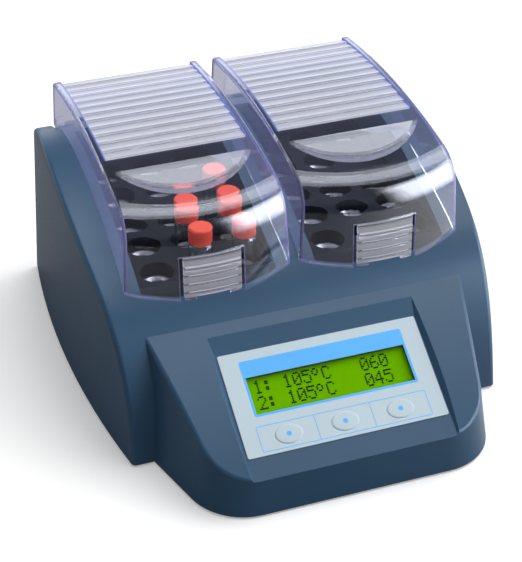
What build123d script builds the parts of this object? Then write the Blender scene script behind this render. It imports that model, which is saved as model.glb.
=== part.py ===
from build123d import *
from math import atan2, cos, degrees, hypot, pi, radians, sin, sqrt, tan
import os

# A dry-block reactor for digesting sample tubes: two heated blocks of wells, each under a clear
# lid hinged at the back, in an arched housing with a sloping keypad console in front.
# X runs left to right, Y from front to back, Z up. Lengths are in mm. In this file Y is taken from
# midway between the housing's front and rear, and heights from the housing's lower edge. save()
# then lifts every piece onto its feet and brings it forward, so that the saved parts stand on the
# bench with the origin under the middle of the whole.

# --- housing -----------------------------------------------------------------------------------
FRONT_Y = -144.0          # lower front edge of the console
REAR_Y = 144.0            # rear wall
WING_Y = -80.0            # lower front edge of the housing beside the console
# side view of the top surface, from the rear edge over the crest to the lower front edge (y, z)
ARCH = [
    (REAR_Y, 106.5), (108.0, 117.5), (70.0, 117.5), (32.0, 111.8), (-8.0, 100.0),
    (-36.0, 87.0), (-57.0, 67.5), (-69.5, 44.0), (-76.5, 20.0), (WING_Y, 0.0),
]
SIDE_FRONT_X = 117.2      # half width of the housing at its lower edge, at WING_Y
SIDE_MID_X = 130.0        # the same where it is widest
SIDE_MID_Y = 72.0
SIDE_REAR_X = 124.0       # the same at the rear wall
SIDE_DRAFT = 3.2          # degrees
WALL = 2.6
CREASE_R = 3.0            # round between the top surface and the sides
FOOT_DROP = 1.5           # the feet lift the housing this much off the bench
REAR_FITTINGS = 2.0       # the rear fittings stand out this far

# --- console -----------------------------------------------------------------------------------
CONSOLE_X = 103.1         # half width at its lower edge, at CONSOLE_X_Y
CONSOLE_X_Y = -83.6
CONSOLE_TAPER = 0.30      # half width lost for each mm towards the front
CONSOLE_CORNER_R = 36.0
CONSOLE_DRAFT = 9.0       # degrees
CONSOLE_LINE = [(-55.0, 71.0), (-100.0, 48.3), (FRONT_Y + 10, 28.0)]   # its bowed face (y, z)
CONSOLE_EDGE_R = 2.5

# --- keypad panel ------------------------------------------------------------------------------
PANEL_W = 124.0
PANEL_H = 65.0
PANEL_CENTRE = (-100.0, 45.5)
PANEL_TILT = 28.8         # degrees
OVERLAY_T = 0.6
PANEL_MARGIN = 0.8        # floor of the recess beyond the overlay
RECESS_FLARE = 45.0       # degrees, slope of the recess walls
RAMP_L = 12.5             # soft ramp over the upper edge of the recess
RAMP_RISE = 1.9
WINDOW_W = 98.8
WINDOW_H = 23.4
WINDOW_V = 4.3            # centre of the window above the centre of the panel
KEY_W = 17.0
KEY_H = 12.0
KEY_END_R = 4.4
KEY_PITCH = 34.5
KEY_V = -22.7
KEY_GAP = 0.3
KEY_STEM_D = 5.0
KEY_PROUD = 0.6
KEY_TRAVEL = 0.5
PANEL_FLOOR = 2.4         # housing under the overlay
WINDOW_T = 2.2
BOARD_T = 1.6
BOARD_DEPTH = 8.2         # top of the key board and the display board under the panel
SWITCH_TOP_DEPTH = 4.6    # plungers under the panel
KEY_BOARD_W = 100.0
KEY_BOARD_H = 12.0
DISPLAY_W = 118.0
DISPLAY_H = 40.0

# --- blocks and wells --------------------------------------------------------------------------
LID_BASE_HALF_W = 51.9    # half width of a lid outside, at LID_BASE_Z
LID_SPACING = 2.25        # from the middle of the reactor to a lid
LID_X = LID_BASE_HALF_W + LID_SPACING     # centre line of each block and its lid
WELL_COLUMNS = 3
WELL_ROWS = 5
WELL_PITCH_X = 27.0
WELL_ROW_Y = -17.0        # front row
WELL_REAR_Y = REAR_Y - 46.6
WELL_PITCH_Y = (WELL_REAR_Y - WELL_ROW_Y) / (WELL_ROWS - 1)
WELL_D = 15.4
WELL_FLARE = 1.8          # countersink at the mouth of a well
BLOCK_EDGE = 12.0         # from the outer wells' centres to the side of the block
BLOCK_TOP = 80.7
BLOCK_H = 64.0
WELL_FLOOR = 4.0
COVER_TOP = 90.3
COVER_HOLE_D = 20.6
RECESS_HALF_W = LID_BASE_HALF_W - 10.4    # recess in the housing for each block cover
RECESS_REAR_Y = REAR_Y - 30
RECESS_TO_LID = 1.6       # its bowed front edge behind the inside of the lid
SHELF_Z = BLOCK_TOP + 0.3  # ledge under the covers
LEDGE_W = 1.8
LEDGE_T = 2.4
COVER_GAP = 0.3
CURTAIN_T = 1.8

# --- lids --------------------------------------------------------------------------------------
LID_BASE_Z = 80.0
LID_DRAFT = 3.0           # degrees
LID_FRONT_Y = -44.2       # foremost point, at LID_BASE_Z
LID_FRONT_R = 129.0       # the front wall bulges forward on this radius
LID_REAR_Y = REAR_Y - 0.4
LID_TOP = [(LID_REAR_Y, 137.8), (55.0, 146.1), (-45.0, 135.6)]   # crown, rear to front (y, z)
LID_BROW_R = 20.0         # round from the crown into the front wall
LID_EDGE_R = 2.0
LID_WALL = 2.3
LID_CROWN_T = 3.2
LID_GAP = 0.3             # between the lid's lower edge and the arch
RIB_COUNT = 12
RIB_FRONT_Y = 28.0
RIB_PITCH = (REAR_Y - 0.1 - RIB_FRONT_Y) / RIB_COUNT
RIB_HALF_W = LID_BASE_HALF_W - 8.2
RIB_DEEP = 1.9
RIB_SHALLOW = 0.5
SCOOP_Y = 13.2            # straight rear edge of the finger scoop
SCOOP_HALF_W = LID_BASE_HALF_W - 12.7
SCOOP_LENGTH = 21.4
SCOOP_DEEP = 3.8
SCOOP_WALL = 2.5

# --- hinge -------------------------------------------------------------------------------------
HINGE_Y = REAR_Y - 6.5
HINGE_Z = 108.0
PIN_D = 3.0
PIN_PLAY = 0.1            # on the diameter, in the lid's ears
EAR_R = 3.6
EAR_INNER = LID_BASE_HALF_W - 9.3         # ears start this far from the lid's centre line
KNUCKLE_HALF_W = EAR_INNER - 0.8
KNUCKLE_R = 3.2
TROUGH_R = 7.4
TROUGH_GAP = 0.7          # beside the lid
HINGE_BEAM_DEPTH = 4.0    # housing left under the trough

# --- latch -------------------------------------------------------------------------------------
TAB_W = 35.0
TAB_TOP_Z = 113.0
TAB_BAR_Z = 106.0
TAB_FOOT_Z = 86.2
TAB_SLOT_W = 2.5
TAB_TOP_GAP = 0.3
TAB_BAR_H = 2.4
TAB_BAR_PROUD = 2.0
TAB_RIBS = 3
TAB_RIB_H = 1.3
TAB_RIB_PROUD = 0.9
TAB_RIB_PITCH = 5.6
TAB_LUG_W = 7.0
TAB_LUG_H = 2.0

# --- sample vials ------------------------------------------------------------------------------
VIAL_D = 14.6
NECK_D = 12.4
VIAL_L = 93.6
VIAL_WALL = 1.2
VIAL_FILL = 42.0
CAP_D = 14.4
CAP_H = 10.4
CAP_OVERLAP = 7.6         # cap that reaches down over the glass
VIAL_PLACES = [(1, 0), (2, 0), (1, 1), (2, 1), (2, 2)]    # (column, row) in the left block

# --- base and inner parts ----------------------------------------------------------------------
TRAY_T = 2.5
TRAY_Z = 0.6              # underside of the tray
TRAY_GAP = 0.4            # to the inside of the housing
TRAY_SLOTS = 6
FOOT_D = 15.0
FOOT_SEAT = 1.2           # depth of the foot's recess in the tray
FOOT_PLACES = [
    (-72.0, FRONT_Y + 26), (72.0, FRONT_Y + 26), (-100.0, REAR_Y - 36), (100.0, REAR_Y - 36),
]
SCREW_D = 3.5
SCREW_HEAD_D = 7.0
SCREW_SINK = 1.4
SCREW_L = 9.0
SCREW_PLACES = [
    (-104.0, -62.0), (104.0, -62.0), (-56.0, FRONT_Y + 10), (56.0, FRONT_Y + 10),
    (-116.5, REAR_Y - 16), (116.5, REAR_Y - 16),
]
BOSS_D = 8.0
BOSS_TOP = 90.0
MAT_T = 1.5
JACKET_T = 6.0
JACKET_TOP = 77.5
STANDOFF_D = 8.0
SENSOR_D = 5.2
SENSOR_FLANGE_T = 1.2
SENSOR_Z = 40.0
CUTOUT_D = 16.0
CONTROL_HALF_W = 62.0
CONTROL_Y = (FRONT_Y + 22, FRONT_Y + 82)
CONTROL_Z = 8.0
POWER_BOARD_X = (-24.0, 92.0)
POWER_BOARD_Y = REAR_Y - 24
POWER_BOARD_TOP = 86.0

# --- rear wall ---------------------------------------------------------------------------------
INLET_X = -84.0
INLET_Z = 34.0
INLET_BODY_W = 27.0
INLET_BODY_H = 31.0
INLET_DEPTH = 20.0
INLET_FLANGE_T = REAR_FITTINGS
SOCKET_W = 24.0
SOCKET_H = 16.0
SOCKET_DEPTH = 15.0
SOCKET_Z = 29.0
DRAWER_W = 22.0
DRAWER_H = 8.0
DRAWER_DEPTH = 19.0
DRAWER_Z = 43.5
FUSE_D = 5.0
FUSE_L = 18.0
SWITCH_X = -48.0
SWITCH_Z = 34.0
SWITCH_W = 13.0
SWITCH_H = 19.5
SWITCH_FLANGE_T = 1.6
ROCKER_W = 10.4
ROCKER_H = 15.0
ROCKER_AXIS_Y = REAR_Y - 1.3
ROCKER_TILT = -9.0
VENT_X = -8.0
VENT_Z = 40.0
VENT_PITCH = 8.0
VENT_COUNT = 13
VENT_W = 3.0
VENT_H = 34.0

SIDES = {"left": -1, "right": 1}


def lid_x(side):
    return SIDES[side] * LID_X


# --- housing surfaces --------------------------------------------------------------------------
def circle_through(a, b, c):
    """Centre and radius of the circle through three points."""
    (x1, y1), (x2, y2), (x3, y3) = a, b, c
    d = 2 * (x1 * (y2 - y3) + x2 * (y3 - y1) + x3 * (y1 - y2))
    s1, s2, s3 = x1**2 + y1**2, x2**2 + y2**2, x3**2 + y3**2
    cx = (s1 * (y2 - y3) + s2 * (y3 - y1) + s3 * (y1 - y2)) / d
    cy = (s1 * (x3 - x2) + s2 * (x1 - x3) + s3 * (x2 - x1)) / d
    return cx, cy, hypot(x1 - cx, y1 - cy)


def side_circle():
    """Centre and radius of the arc that a side wall follows at the lower edge, in plan."""
    return circle_through((SIDE_FRONT_X, WING_Y), (SIDE_MID_X, SIDE_MID_Y), (SIDE_REAR_X, REAR_Y))


def side_x(y, inset=0.0):
    """Half width of the housing at its lower edge."""
    cx, cy, radius = side_circle()
    return cx + sqrt((radius - inset) ** 2 - (y - cy) ** 2)


def arch_line(grow=0.0):
    """Points of the arch, moved out along its normals."""
    moved = []
    for i, (y, z) in enumerate(ARCH):
        y0, z0 = ARCH[max(i - 1, 0)]
        y1, z1 = ARCH[min(i + 1, len(ARCH) - 1)]
        run = hypot(y1 - y0, z1 - z0)
        moved.append((y + grow * (z1 - z0) / run, z - grow * (y1 - y0) / run))
    return moved


def arch_solid(grow=0.0, half_width=150.0, rear=REAR_Y, floor=0.0):
    """Everything under the arch: the side view, pulled out across the housing."""
    line = arch_line(grow)
    (y_rear, z_rear), (y_front, z_front) = line[0], line[-1]
    back, low = rear + 20, floor - 20
    edges = [
        Spline(*line),
        Line((y_front, z_front), (y_front, low)),
        Line((y_front, low), (back, low)),
        Line((back, low), (back, z_rear - (back - y_rear) * 0.35)),
        Line((back, z_rear - (back - y_rear) * 0.35), (y_rear, z_rear)),
    ]
    solid = extrude(Plane.YZ * make_face(edges), amount=half_width, both=True)
    keep = Pos(0, (rear + y_front) / 2 - 50, floor + 200) * Box(2 * half_width, rear - y_front + 100, 400)
    return solid & keep


def plan_solid(inset=0.0, height=150.0):
    """The barrel-shaped plan of the housing, drawn in by the mould draft of its sides."""
    near, mid, far = WING_Y - 12, SIDE_MID_Y, REAR_Y + 12
    xn, xm, xf = side_x(near, inset), side_x(mid, inset), side_x(far, inset)
    edges = [
        ThreePointArc((xn, near), (xm, mid), (xf, far)),
        Line((xf, far), (-xf, far)),
        ThreePointArc((-xf, far), (-xm, mid), (-xn, near)),
        Line((-xn, near), (xn, near)),
    ]
    return extrude(make_face(edges), amount=height, taper=SIDE_DRAFT)


def body_solid(inset=0.0, floor=0.0):
    return arch_solid(-inset, rear=REAR_Y - inset, floor=floor) & plan_solid(inset)


def slope_plane(point, tilt):
    """Plane that leans towards the front, with its local Y up the slope."""
    t = radians(tilt)
    return Plane(origin=(0, point[0], point[1]), x_dir=(1, 0, 0), z_dir=(0, -sin(t), cos(t)))


PANEL = slope_plane(PANEL_CENTRE, PANEL_TILT)


def above(plane, offset=0.0):
    """Half-space over a plane, as a block large enough for this part."""
    return plane * Pos(0, 0, 150 + offset) * Box(500, 500, 300)


def console_outline(inset=0.0, back=-30.0):
    """Plan of the console at its lower edge."""
    front = FRONT_Y + inset
    x_back = CONSOLE_X + CONSOLE_TAPER * (back - CONSOLE_X_Y) - inset
    x_front = CONSOLE_X + CONSOLE_TAPER * (front - CONSOLE_X_Y) - inset
    outline = make_face(Polyline(
        (x_back, back), (-x_back, back), (-x_front, front), (x_front, front), close=True))
    corners = outline.vertices().sort_by(Axis.Y)[:2]
    return fillet(corners, CONSOLE_CORNER_R - inset)


def console_solid(inset=0.0):
    return extrude(console_outline(inset), amount=95, taper=CONSOLE_DRAFT)


def console_arc():
    """Centre and radius of the arc of the console's bowed face, in the side view."""
    return circle_through(*CONSOLE_LINE)


def over_console():
    """Room over the console's bowed face."""
    y, z, radius = console_arc()
    under = Pos(0, y, z) * Rot(0, 90, 0) * Cylinder(radius, 400)
    return span_box(-190, 190, -190, 0, 0, 160) - under


def outer_console():
    solid = console_solid() - over_console()
    y, z, radius = console_arc()
    crest = [e for e in solid.edges()
             if abs(hypot((e @ 0.5).Y - y, (e @ 0.5).Z - z) - radius) < 0.01 and (e @ 0.5).Y < -70]
    return fillet(crest, CONSOLE_EDGE_R)


def outer_body():
    solid = body_solid()
    crease = [e for e in solid.edges()
              if e.bounding_box().size.Y > 60 and e.bounding_box().max.Z > 60]
    return fillet(crease, CREASE_R)


# --- placing -----------------------------------------------------------------------------------
def block_y_span():
    return WELL_ROW_Y - BLOCK_EDGE - 2, WELL_REAR_Y + BLOCK_EDGE + 2


def block_half_w():
    return (WELL_COLUMNS - 1) / 2 * WELL_PITCH_X + BLOCK_EDGE


def block_centre_y():
    front, rear = block_y_span()
    return (front + rear) / 2


def well_spot(column, row):
    """Place of a well from the centre line of its block: columns from the left, rows from the front."""
    return ((column - (WELL_COLUMNS - 1) / 2) * WELL_PITCH_X, WELL_ROW_Y + row * WELL_PITCH_Y)


def well_spots():
    return [well_spot(c, r) for c in range(WELL_COLUMNS) for r in range(WELL_ROWS)]


def group(pieces):
    """Pieces that don't touch, as one shape."""
    return Part() + list(pieces)


def span_box(x0, x1, y0, y1, z0, z1):
    return Pos((x0 + x1) / 2, (y0 + y1) / 2, (z0 + z1) / 2) * Box(x1 - x0, y1 - y0, z1 - z0)


def upright(x, y, z0, z1, diameter):
    return Pos(x, y, (z0 + z1) / 2) * Cylinder(diameter / 2, z1 - z0)


def rod_x(x0, x1, y, z, radius):
    return Pos((x0 + x1) / 2, y, z) * Rot(0, 90, 0) * Cylinder(radius, x1 - x0)


# --- housing -----------------------------------------------------------------------------------
def recess_tool():
    """Cutter for the keypad recess: flared sides, a ramp at the top, open to the front."""
    half_w = PANEL_W / 2 + PANEL_MARGIN
    top, low, high = PANEL_H / 2 + PANEL_MARGIN, -PANEL_H / 2 - 40, 12.0
    spread = high * tan(radians(RECESS_FLARE))
    sides = make_face(Polyline(
        (-half_w, 0), (half_w, 0), (half_w + spread, high), (-half_w - spread, high), close=True))
    ramp = RAMP_L / RAMP_RISE * high
    profile = make_face(Polyline((low, 0), (top, 0), (top + ramp, high), (low, high), close=True))
    across = Plane.XZ * sides
    along = extrude(across, amount=200, both=True)
    tool = along & extrude(Plane.YZ * profile, amount=200, both=True)
    return PANEL * Pos(0, 0, -OVERLAY_T) * tool


def panel_openings():
    """Window and key stem openings through the floor of the recess."""
    window = Pos(0, WINDOW_V, 0) * Box(WINDOW_W + 2, WINDOW_H + 2, 30)
    stems = [Pos(i * KEY_PITCH, KEY_V, 0) * Cylinder(KEY_STEM_D / 2 + KEY_GAP, 30) for i in (-1, 0, 1)]
    return PANEL * group([window] + stems)


def panel_posts():
    """Posts under the recess floor that carry the key board and the display."""
    low, high = -BOARD_DEPTH, -OVERLAY_T - PANEL_FLOOR + 0.5
    spots = [(s * KEY_BOARD_W / 2 * 0.9, KEY_V - 3) for s in (-1, 1)] + display_holes()
    posts = [Pos(u, v, (low + high) / 2) * Cylinder(3, high - low) for u, v in spots]
    return PANEL * group(posts)


def block_plan(x, grow, z0, z1):
    """Column over the plan of a block recess, whose front edge bows forward with the lid's."""
    w, rear = RECESS_HALF_W + grow, RECESS_REAR_Y + grow
    radius = LID_FRONT_R - LID_WALL - RECESS_TO_LID + grow
    centre = LID_FRONT_Y + LID_FRONT_R
    corner = centre - sqrt(radius**2 - w**2)
    face = make_face([
        ThreePointArc((-w, corner), (0, centre - radius), (w, corner)),
        Polyline((w, corner), (w, rear), (-w, rear), (-w, corner)),
    ])
    return Pos(x, 0, z0) * extrude(face, amount=z1 - z0)


def curtain(x):
    """Wall that hangs from the arch round one block recess, with a ledge for the cover."""
    return block_plan(x, CURTAIN_T, SHELF_Z - LEDGE_T, 140) & arch_solid(-0.2)


def recess_cut(x):
    return block_plan(x, 0, SHELF_Z, 150) + block_plan(x, -LEDGE_W, SHELF_Z - 20, SHELF_Z)


def trough(x):
    """Room at the rear edge for the back of a lid to swing down."""
    half = LID_BASE_HALF_W + TROUGH_GAP
    rear = span_box(x - half, x + half, HINGE_Y, REAR_Y + 10, HINGE_Z - TROUGH_R, 150)
    upper = span_box(x - half, x + half, HINGE_Y - TROUGH_R, REAR_Y + 10, HINGE_Z, 150)
    return rod_x(x - half, x + half, HINGE_Y, HINGE_Z, TROUGH_R) + rear + upper


def hinge_beam(x):
    half = LID_BASE_HALF_W + TROUGH_GAP + 1.5
    low = HINGE_Z - TROUGH_R - HINGE_BEAM_DEPTH
    beam = span_box(x - half, x + half, HINGE_Y - TROUGH_R - 3, REAR_Y - 1, low, 140)
    return beam & arch_solid(-0.2)


def knuckle(x):
    """Bar that carries the hinge pin, held from the front by a web."""
    half = KNUCKLE_HALF_W
    bar = rod_x(x - half, x + half, HINGE_Y, HINGE_Z, KNUCKLE_R)
    web_y = HINGE_Y - TROUGH_R - 1
    web = span_box(x - half, x + half, web_y, HINGE_Y, HINGE_Z - 2.4, HINGE_Z + 2.4)
    return bar + web - rod_x(x - half - 1, x + half + 1, HINGE_Y, HINGE_Z, PIN_D / 2)


def bosses():
    """Screw bosses from the tray up into the shell."""
    low = TRAY_Z + TRAY_T
    posts = [upright(x, y, low, BOSS_TOP, BOSS_D) for x, y in SCREW_PLACES]
    holes = [upright(x, y, low - 1, low + SCREW_L, SCREW_D - 0.6) for x, y in SCREW_PLACES]
    body = body_solid(WALL / 3, floor=-5) - trough(-LID_X) - trough(LID_X)
    inside = body + (console_solid(WALL / 3) - above(PANEL, -OVERLAY_T - WALL / 3))
    return (group(posts) & inside) - group(holes)


def rear_openings():
    """Cut-outs of the rear wall: inlet, switch and a field of cooling slots."""
    depth = 12
    inlet = Pos(INLET_X, REAR_Y, INLET_Z) * Box(INLET_BODY_W + 0.4, depth, INLET_BODY_H + 0.4)
    switch = Pos(SWITCH_X, REAR_Y, SWITCH_Z) * Box(SWITCH_W + 0.4, depth, SWITCH_H + 0.4)
    slots = [Pos(VENT_X + i * VENT_PITCH, REAR_Y, VENT_Z) * Box(VENT_W, depth, VENT_H)
             for i in range(VENT_COUNT)]
    return group([inlet, switch] + slots)


def upper_housing():
    shell = outer_body() + outer_console() - recess_tool()
    console_hollow = console_solid(WALL) - above(PANEL, -OVERLAY_T - PANEL_FLOOR)
    shell = shell - body_solid(WALL, floor=-5) - Pos(0, 0, -0.01) * console_hollow
    for x in (-LID_X, LID_X):
        shell = shell + curtain(x) + hinge_beam(x)
    for x in (-LID_X, LID_X):
        shell = shell - recess_cut(x) - trough(x) + knuckle(x)
    shell = shell + panel_posts() + bosses()
    return shell - panel_openings() - rear_openings()


def base_tray():
    """Plate that closes the housing from below, with feet recesses and cooling slots."""
    inset = WALL + TRAY_GAP
    top = TRAY_Z + TRAY_T
    body = body_solid(inset, floor=-5) & span_box(-150, 150, -150, 150, TRAY_Z, top)
    console = console_solid(inset) & span_box(-150, 150, -150, 150, TRAY_Z, top)
    tray = body + console
    for x, y in FOOT_PLACES:
        tray = tray - upright(x, y, TRAY_Z - 1, TRAY_Z + FOOT_SEAT, FOOT_D)
    for x, y in SCREW_PLACES:
        tray = tray - upright(x, y, TRAY_Z - 1, top + 1, SCREW_D)
        tray = tray - upright(x, y, TRAY_Z - 1, TRAY_Z + SCREW_SINK, SCREW_HEAD_D + 0.4)
    for s in (-1, 1):
        for i in range(TRAY_SLOTS):
            slot = Pos(s * LID_X, 5 + i * 12, TRAY_Z) * Box(60, 3, 10)
            tray = tray - slot
    return tray + board_rail()


def board_rail():
    """Two ribs on the tray that hold the lower edge of the power board."""
    top = TRAY_Z + TRAY_T
    x0, x1 = POWER_BOARD_X
    ribs = [span_box(x0, x1, y, y + 1.5, top, top + 5)
            for y in (POWER_BOARD_Y - 1.5, POWER_BOARD_Y + BOARD_T)]
    return group(ribs)


def rubber_feet():
    feet = [upright(x, y, -FOOT_DROP, TRAY_Z + FOOT_SEAT, FOOT_D - 0.2) for x, y in FOOT_PLACES]
    return group([chamfer(f.edges().sort_by(Axis.Z)[:1], 1.0) for f in feet])


def case_screws():
    screws = []
    for x, y in SCREW_PLACES:
        head = upright(x, y, TRAY_Z + 0.2, TRAY_Z + SCREW_SINK, SCREW_HEAD_D)
        shank = upright(x, y, TRAY_Z + SCREW_SINK, TRAY_Z + TRAY_T + SCREW_L - 1, SCREW_D - 0.6)
        cross = Pos(x, y, TRAY_Z) * (Box(4, 0.9, 1.6) + Box(0.9, 4, 1.6))
        screws.append(head + shank - cross)
    return group(screws)


# --- blocks ------------------------------------------------------------------------------------
def block_cover(side):
    """Black insulating plate over a block: flat over the wells, sloping off to the front."""
    x = lid_x(side)
    plate = block_plan(x, -COVER_GAP, SHELF_Z, COVER_TOP) & arch_solid(-0.3)
    holes = [upright(x + u, y, SHELF_Z - 1, COVER_TOP + 1, COVER_HOLE_D) for u, y in well_spots()]
    return plate - group(holes)


def heating_bar(side, row):
    """One row of wells: five such bars stand face to face and make up a block."""
    x = lid_x(side)
    front, rear = block_y_span()
    middle = well_spot(0, row)[1]
    y0 = front if row == 0 else middle - WELL_PITCH_Y / 2
    y1 = rear if row == WELL_ROWS - 1 else middle + WELL_PITCH_Y / 2
    w = block_half_w()
    low = BLOCK_TOP - BLOCK_H
    bar = span_box(x - w, x + w, y0, y1, low, BLOCK_TOP)
    well = upright(0, 0, low + WELL_FLOOR, BLOCK_TOP + 1, WELL_D)
    flare = Cone(WELL_D / 2, WELL_D / 2 + WELL_FLARE, WELL_FLARE)
    mouth = Pos(0, 0, BLOCK_TOP - WELL_FLARE / 2) * flare
    for column in range(WELL_COLUMNS):
        u, y = well_spot(column, row)
        bar = bar - Pos(x + u, y, 0) * (well + mouth)
    return bar


def temperature_sensor(side):
    """Surface probe: its tip bears on the rear of the block, its flange on the jacket."""
    x = lid_x(side) + WELL_PITCH_X / 2
    y1 = block_y_span()[1]
    probe = Rot(90, 0, 0) * Cylinder(SENSOR_D / 2, JACKET_T + SENSOR_FLANGE_T)
    flange = Rot(90, 0, 0) * Cylinder(SENSOR_D / 2 + 1.4, SENSOR_FLANGE_T)
    seated = Pos(x, y1 + (JACKET_T + SENSOR_FLANGE_T) / 2, SENSOR_Z) * probe
    return seated + Pos(x, y1 + JACKET_T + SENSOR_FLANGE_T / 2, SENSOR_Z) * flange


def heater_mat(side):
    x = lid_x(side)
    y0, y1 = block_y_span()
    w = block_half_w()
    top = BLOCK_TOP - BLOCK_H
    return span_box(x - w + 1, x + w - 1, y0 + 1, y1 - 1, top - MAT_T, top)


def insulation_jacket(side):
    x = lid_x(side)
    y0, y1 = block_y_span()
    w = block_half_w()
    floor = BLOCK_TOP - BLOCK_H - MAT_T
    t = JACKET_T
    box = span_box(x - w - t, x + w + t, y0 - t, y1 + t, floor - t, JACKET_TOP)
    room = span_box(x - w, x + w, y0, y1, floor, JACKET_TOP + 1)
    sleeve = Rot(90, 0, 0) * Cylinder(SENSOR_D / 2 + 0.3, t + 2)
    cutout = upright(x, block_centre_y(), floor - t - 1, floor + 1, CUTOUT_D + 0.6)
    return box - room - Pos(x + WELL_PITCH_X / 2, y1 + t / 2, SENSOR_Z) * sleeve - cutout


def thermal_cutout(side):
    floor = BLOCK_TOP - BLOCK_H - MAT_T
    can = upright(lid_x(side), block_centre_y(), floor - 5, floor, CUTOUT_D)
    tabs = [Pos(lid_x(side) + s * 5, block_centre_y(), floor - 7) * Box(0.8, 5, 4) for s in (-1, 1)]
    return can + tabs[0] + tabs[1]


def block_standoffs():
    low = TRAY_Z + TRAY_T
    top = BLOCK_TOP - BLOCK_H - MAT_T - JACKET_T
    y0, y1 = block_y_span()
    w = block_half_w() - 4
    r = STANDOFF_D / 2
    posts = [span_box(s * LID_X + u - r, s * LID_X + u + r, y - r, y + r, low, top)
             for s in (-1, 1) for u in (-w, w) for y in (y0 + 4, y1 - 4)]
    return group(posts)


# --- vials -------------------------------------------------------------------------------------
def vial_spots():
    spots = [well_spot(column, row) for column, row in VIAL_PLACES]
    return [(-LID_X + u, y) for u, y in spots]


def vial_base():
    return BLOCK_TOP - BLOCK_H + WELL_FLOOR


def sample_vials():
    """Glass tubes with a rounded foot and a narrower neck under the cap."""
    z0 = vial_base()
    z_neck = z0 + VIAL_L - CAP_OVERLAP
    z1 = z0 + VIAL_L
    r, t, neck = VIAL_D / 2, VIAL_WALL, NECK_D / 2
    half = Polyline(
        (0, z0), (r - 2.5, z0), (r, z0 + 2.5), (r, z_neck - 2), (neck, z_neck), (neck, z1),
        (neck - t, z1), (neck - t, z_neck), (r - t, z_neck - 3), (r - t, z0 + t), (0, z0 + t), close=True)
    tube = revolve(Plane.XZ * make_face(half), Axis.Z)
    return group([Pos(x, y, 0) * tube for x, y in vial_spots()])


def vial_samples():
    z0 = vial_base() + VIAL_WALL
    r = VIAL_D / 2 - VIAL_WALL
    fill = upright(0, 0, z0, z0 + VIAL_FILL, 2 * r)
    return group([Pos(x, y, 0) * fill for x, y in vial_spots()])


def vial_caps():
    """Screw caps over the vials' necks."""
    z0 = vial_base() + VIAL_L - CAP_OVERLAP
    body = upright(0, 0, z0, z0 + CAP_H, CAP_D)
    body = chamfer(body.edges().sort_by(Axis.Z)[-1:], 0.8)
    room = upright(0, 0, z0 - 1, z0 + CAP_OVERLAP, NECK_D + 0.2)
    cap = body - room
    return group([Pos(x, y, 0) * cap for x, y in vial_spots()])


# --- lids --------------------------------------------------------------------------------------
def lid_prism(x, inset=0.0):
    """Side and front walls of a lid as a drafted block: the front bulges forward."""
    half = LID_BASE_HALF_W - inset
    front = LID_FRONT_Y + inset
    radius = LID_FRONT_R - inset
    corner = front + radius - sqrt(radius**2 - half**2)
    rear = REAR_Y + 12
    edges = [
        ThreePointArc((-half, corner), (0, front), (half, corner)),
        Line((half, corner), (half, rear)),
        Line((half, rear), (-half, rear)),
        Line((-half, rear), (-half, corner)),
    ]
    return Pos(x, 0, LID_BASE_Z) * extrude(make_face(edges), amount=75, taper=LID_DRAFT)


def crown_z(y, inset=0.0):
    """Height of the crown, an arc in the side view."""
    cy, cz, radius = circle_through(*LID_TOP)
    return cz + sqrt((radius - inset) ** 2 - (y - cy) ** 2)


def crown_prism(x, inset=0.0, rear_inset=0.0):
    """Side view of a lid under its crown, pulled across."""
    rear, front = LID_REAR_Y - rear_inset, -70.0
    mid = (rear + front) / 2
    low = 60
    a, b, c = [(y, crown_z(y, inset)) for y in (rear, mid, front)]
    edges = [
        ThreePointArc(a, b, c),
        Line(c, (front, low)),
        Line((front, low), (rear, low)),
        Line((rear, low), a),
    ]
    return Pos(x, 0, 0) * extrude(Plane.YZ * make_face(edges), amount=80, both=True)


def lid_block(x, wall=0.0, crown=0.0, brow=LID_BROW_R):
    solid = lid_prism(x, wall) & crown_prism(x, crown, wall)
    top_front = [e for e in solid.edges()
                 if e.center().Y < -20 and e.center().Z > 120 and e.bounding_box().size.X > 60]
    return fillet(top_front, brow)


def rounded_lid(x):
    solid = lid_block(x)
    rim = [e for e in solid.edges()
           if e.bounding_box().size.Y > 15 and e.center().Z > 125 and abs(e.center().X - x) > 40]
    return fillet(rim, LID_EDGE_R)


def rib_tool(x):
    """Saw-tooth cutter for the louvres: each blade falls to the rear, its step faces forward."""
    points = []
    for i in range(RIB_COUNT):
        y0 = RIB_FRONT_Y + i * RIB_PITCH
        y1 = y0 + RIB_PITCH
        points += [(y0, crown_z(y0) - RIB_SHALLOW), (y1, crown_z(y1) - RIB_DEEP)]
    points += [(points[-1][0], 160), (points[0][0], 160)]
    teeth = make_face(Polyline(*points, close=True))
    return Pos(x, 0, 0) * extrude(Plane.YZ * teeth, amount=RIB_HALF_W, both=True)


def scoop_face(grow=0.0):
    """Half-moon in plan: straight at the rear, an arc to the front."""
    rise = SCOOP_LENGTH
    radius = (SCOOP_HALF_W**2 + rise**2) / (2 * rise) + grow
    centre_y = SCOOP_Y - SCOOP_LENGTH + radius - grow
    disc = Pos(0, centre_y) * Circle(radius)
    return disc & Pos(0, SCOOP_Y + grow - 100) * Rectangle(200, 200)


def scoop_floor(offset=0.0):
    """Floor of the scoop: level with the crown at the rear, deepest at the arc."""
    front_y = SCOOP_Y - SCOOP_LENGTH
    drop = crown_z(SCOOP_Y) - (crown_z(front_y) - SCOOP_DEEP)
    tilt = degrees(atan2(drop, SCOOP_LENGTH))
    return above(slope_plane((SCOOP_Y, crown_z(SCOOP_Y)), tilt), offset)


def scoop(x, grow=0.0):
    column = Pos(x, 0, 90) * extrude(scoop_face(grow), amount=80)
    return column & scoop_floor(-grow)


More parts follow.
